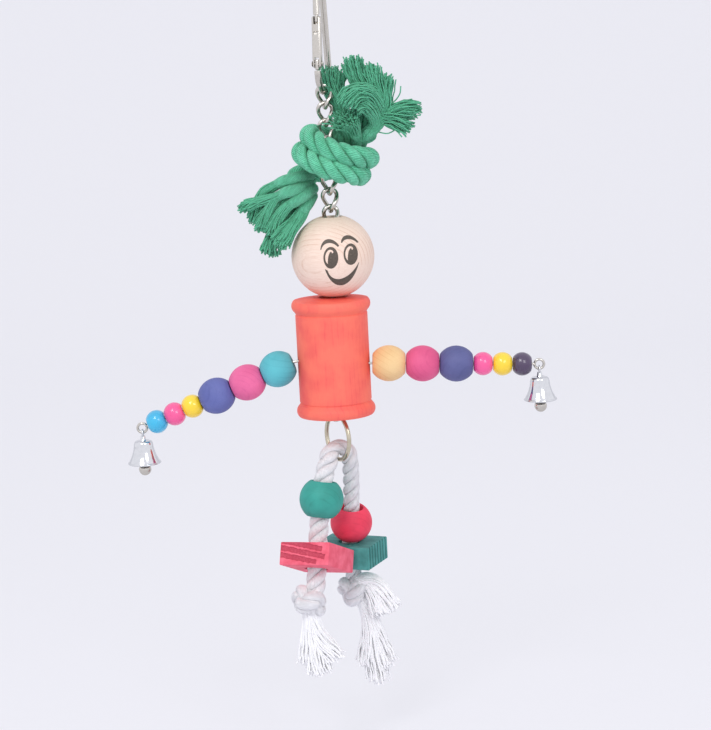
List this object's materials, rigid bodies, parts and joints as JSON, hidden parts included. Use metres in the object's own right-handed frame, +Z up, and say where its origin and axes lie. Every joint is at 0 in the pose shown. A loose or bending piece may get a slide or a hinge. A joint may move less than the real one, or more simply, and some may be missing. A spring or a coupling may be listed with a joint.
{
  "type": "hanging bird toy",
  "caption": "Hanging chew toy for a cage bird, a little figure with a ball head, spool body, bead arms with bells, and rope legs, on a chain with a snap hook.",
  "frame": {"origin": "inside top of the snap hook, where it hangs on a bar", "axes": "+Z up along the hanging line, +X to the figure's side that is on the viewer's right, -Y its face"},
  "size_m": [0.1943, 0.0599, 0.3219],
  "materials": {
    "steel": "bright nickel plate",
    "chrome": "polished plate",
    "bare_wood": "sanded bare wood with a printed face",
    "spool_red": "matt dye",
    "bead_turquoise": "satin dye",
    "bead_pink": "satin dye",
    "bead_indigo": "satin dye",
    "bead_yellow": "gloss lacquer",
    "bead_hot_pink": "gloss lacquer",
    "bead_sky": "gloss lacquer",
    "bead_natural": "satin dye",
    "bead_magenta": "satin dye",
    "bead_slate": "satin dye",
    "bead_aubergine": "gloss lacquer",
    "green_cotton": "laid cotton rope, frayed ends",
    "white_cotton": "laid cotton rope, frayed ends",
    "ball_green": "satin dye",
    "ball_red": "satin dye",
    "block_red": "matt dye on sawn faces",
    "block_green": "matt dye on sawn faces"
  },
  "bodies": {
    "hook": {"hook_frame": "steel", "gate_rivet": "steel"},
    "gate": {"hook_gate": "steel", "gate_spring": "steel"},
    "link_1": {"chain_link_1": "steel"},
    "link_2": {"chain_link_2": "steel"},
    "knot": {"chain_link_3": "steel", "chain_link_4": "steel", "chain_link_5": "steel", "green_knot": "green_cotton", "green_tail_left": "green_cotton", "green_tail_top": "green_cotton", "green_fray_left": "green_cotton", "green_fray_top": "green_cotton"},
    "link_6": {"chain_link_6": "steel"},
    "link_7": {"chain_link_7": "steel"},
    "core": {"chain_link_8": "steel", "core_wire": "steel"},
    "head": {"head": "bare_wood"},
    "spool": {"spool": "spool_red"},
    "arm": {"arm_wire": "steel"},
    "ring": {"ring": "steel"},
    "legs": {"white_rope": "white_cotton", "white_knot_left": "white_cotton", "white_knot_right": "white_cotton", "white_fray_left": "white_cotton", "white_fray_right": "white_cotton", "white_fray_side": "white_cotton"},
    "green_ball": {"green_ball": "ball_green"},
    "red_ball": {"red_ball": "ball_red"},
    "red_block": {"red_block": "block_red"},
    "green_block": {"green_block": "block_green"},
    "left_bead_1": {"left_bead_1": "bead_turquoise"},
    "left_bead_2": {"left_bead_2": "bead_pink"},
    "left_bead_3": {"left_bead_3": "bead_indigo"},
    "left_bead_4": {"left_bead_4": "bead_yellow"},
    "left_bead_5": {"left_bead_5": "bead_hot_pink"},
    "left_bead_6": {"left_bead_6": "bead_sky"},
    "left_bell": {"left_bell": "chrome"},
    "left_clapper": {"left_clapper": "steel"},
    "right_bead_1": {"right_bead_1": "bead_natural"},
    "right_bead_2": {"right_bead_2": "bead_magenta"},
    "right_bead_3": {"right_bead_3": "bead_slate"},
    "right_bead_4": {"right_bead_4": "bead_hot_pink"},
    "right_bead_5": {"right_bead_5": "bead_yellow"},
    "right_bead_6": {"right_bead_6": "bead_aubergine"},
    "right_bell": {"right_bell": "chrome"},
    "right_clapper": {"right_clapper": "steel"}
  },
  "joints": [
    {"name": "gate_swing", "type": "hinge", "parent": "hook", "child": "gate", "pos_m": [-0.0021, -0.00783, -0.0332], "axis": [-0.9659, 0.2588, 0], "range_deg": [0, 22], "stiffness_Nm_per_rad": 0.02, "springref_deg": -17.19},
    {"name": "link_1_swing", "type": "hinge", "parent": "hook", "child": "link_1", "pos_m": [0, 0, -0.04275], "axis": [0.9659, 0.2588, 0], "range_deg": [-14, 14]},
    {"name": "link_2_swing", "type": "hinge", "parent": "link_1", "child": "link_2", "pos_m": [0, 0, -0.05255], "axis": [0.2588, -0.9659, 0], "range_deg": [-25, 4]},
    {"name": "knot_swing", "type": "hinge", "parent": "link_2", "child": "knot", "pos_m": [0, 0, -0.05795], "axis": [-0.9659, -0.2588, 0], "range_deg": [-15, 4]},
    {"name": "link_6_swing", "type": "hinge", "parent": "knot", "child": "link_6", "pos_m": [0, 0, -0.08075], "axis": [-0.9659, -0.2588, 0], "range_deg": [-10, 10]},
    {"name": "link_7_swing", "type": "hinge", "parent": "link_6", "child": "link_7", "pos_m": [0, 0, -0.09055], "axis": [0.2588, -0.9659, 0], "range_deg": [-3, 20]},
    {"name": "figure_swing", "type": "hinge", "parent": "link_7", "child": "core", "pos_m": [0, 0, -0.09595], "axis": [0.9659, 0.2588, 0], "range_deg": [-20, 20]},
    {"name": "head_turn", "type": "hinge", "parent": "core", "child": "head", "pos_m": [0, 0, -0.11829], "axis": [0, 0, 1], "continuous": true},
    {"name": "spool_turn", "type": "hinge", "parent": "core", "child": "spool", "pos_m": [-0.0021, 0, -0.13649], "axis": [0, 0, 1], "continuous": true},
    {"name": "arm_turn", "type": "hinge", "parent": "spool", "child": "arm", "pos_m": [-0.0021, -0.003, -0.16569], "axis": [0.9969, 0, -0.0785], "range_deg": [-60, 60]},
    {"name": "left_bead_1_spin", "type": "hinge", "parent": "arm", "child": "left_bead_1", "pos_m": [-0.02721, -0.003, -0.16761], "axis": [-0.9348, 0, -0.3551], "continuous": true},
    {"name": "left_bead_2_spin", "type": "hinge", "parent": "arm", "child": "left_bead_2", "pos_m": [-0.04132, -0.003, -0.17297], "axis": [-0.9348, 0, -0.3551], "continuous": true},
    {"name": "left_bead_3_spin", "type": "hinge", "parent": "arm", "child": "left_bead_3", "pos_m": [-0.05544, -0.003, -0.17833], "axis": [-0.9348, 0, -0.3551], "continuous": true},
    {"name": "left_bead_4_spin", "type": "hinge", "parent": "arm", "child": "left_bead_4", "pos_m": [-0.06661, -0.003, -0.18258], "axis": [-0.9348, 0, -0.3551], "continuous": true},
    {"name": "left_bead_5_spin", "type": "hinge", "parent": "arm", "child": "left_bead_5", "pos_m": [-0.07484, -0.003, -0.1857], "axis": [-0.9348, 0, -0.3551], "continuous": true},
    {"name": "left_bead_6_spin", "type": "hinge", "parent": "arm", "child": "left_bead_6", "pos_m": [-0.08306, -0.003, -0.18883], "axis": [-0.9348, 0, -0.3551], "continuous": true},
    {"name": "left_bell_swing", "type": "hinge", "parent": "arm", "child": "left_bell", "pos_m": [-0.08984, -0.003, -0.1935], "axis": [1, 0, 0], "range_deg": [-60, 60]},
    {"name": "left_clapper_swing", "type": "hinge", "parent": "left_bell", "child": "left_clapper", "pos_m": [-0.08984, -0.003, -0.19975], "axis": [0, 1, 0], "range_deg": [-18, 18]},
    {"name": "right_bead_1_spin", "type": "hinge", "parent": "arm", "child": "right_bead_1", "pos_m": [0.02259, -0.003, -0.16745], "axis": [0.9984, 0, -0.0558], "continuous": true},
    {"name": "right_bead_2_spin", "type": "hinge", "parent": "arm", "child": "right_bead_2", "pos_m": [0.03766, -0.003, -0.16829], "axis": [0.9984, 0, -0.0558], "continuous": true},
    {"name": "right_bead_3_spin", "type": "hinge", "parent": "arm", "child": "right_bead_3", "pos_m": [0.05274, -0.003, -0.16913], "axis": [0.9984, 0, -0.0558], "continuous": true},
    {"name": "right_bead_4_spin", "type": "hinge", "parent": "arm", "child": "right_bead_4", "pos_m": [0.06467, -0.003, -0.1698], "axis": [0.9984, 0, -0.0558], "continuous": true},
    {"name": "right_bead_5_spin", "type": "hinge", "parent": "arm", "child": "right_bead_5", "pos_m": [0.07346, -0.003, -0.17029], "axis": [0.9984, 0, -0.0558], "continuous": true},
    {"name": "right_bead_6_spin", "type": "hinge", "parent": "arm", "child": "right_bead_6", "pos_m": [0.08224, -0.003, -0.17078], "axis": [0.9984, 0, -0.0558], "continuous": true},
    {"name": "right_bell_swing", "type": "hinge", "parent": "arm", "child": "right_bell", "pos_m": [0.08988, -0.003, -0.17331], "axis": [1, 0, 0], "range_deg": [-60, 60]},
    {"name": "right_clapper_swing", "type": "hinge", "parent": "right_bell", "child": "right_clapper", "pos_m": [0.08988, -0.003, -0.17956], "axis": [0, 1, 0], "range_deg": [-18, 18]},
    {"name": "ring_swing", "type": "hinge", "parent": "core", "child": "ring", "pos_m": [-0.0021, 0, -0.19039], "axis": [0.5, -0.866, 0], "range_deg": [-40, 40]},
    {"name": "legs_swing", "type": "hinge", "parent": "ring", "child": "legs", "pos_m": [-0.0021, 0, -0.21089], "axis": [-0.5, 0.866, 0], "range_deg": [-35, 35]},
    {"name": "green_ball_slide", "type": "slide", "parent": "legs", "child": "green_ball", "axis": [0.1543, 0.1457, 0.9772], "range_m": [-0.004, 0.004]},
    {"name": "red_ball_spin", "type": "hinge", "parent": "legs", "child": "red_ball", "pos_m": [0.0018, 0.0108, -0.24319], "axis": [0.0697, -0.1688, 0.9832], "continuous": true},
    {"name": "red_block_turn", "type": "hinge", "parent": "legs", "child": "red_block", "pos_m": [-0.0141, -0.0128, -0.25289], "axis": [0.1044, 0.3638, 0.9256], "range_deg": [-8, 8]},
    {"name": "green_block_turn", "type": "hinge", "parent": "legs", "child": "green_block", "pos_m": [0.0006, 0.0126, -0.25769], "axis": [0, 0, 1], "range_deg": [-8, 8]}
  ]
}
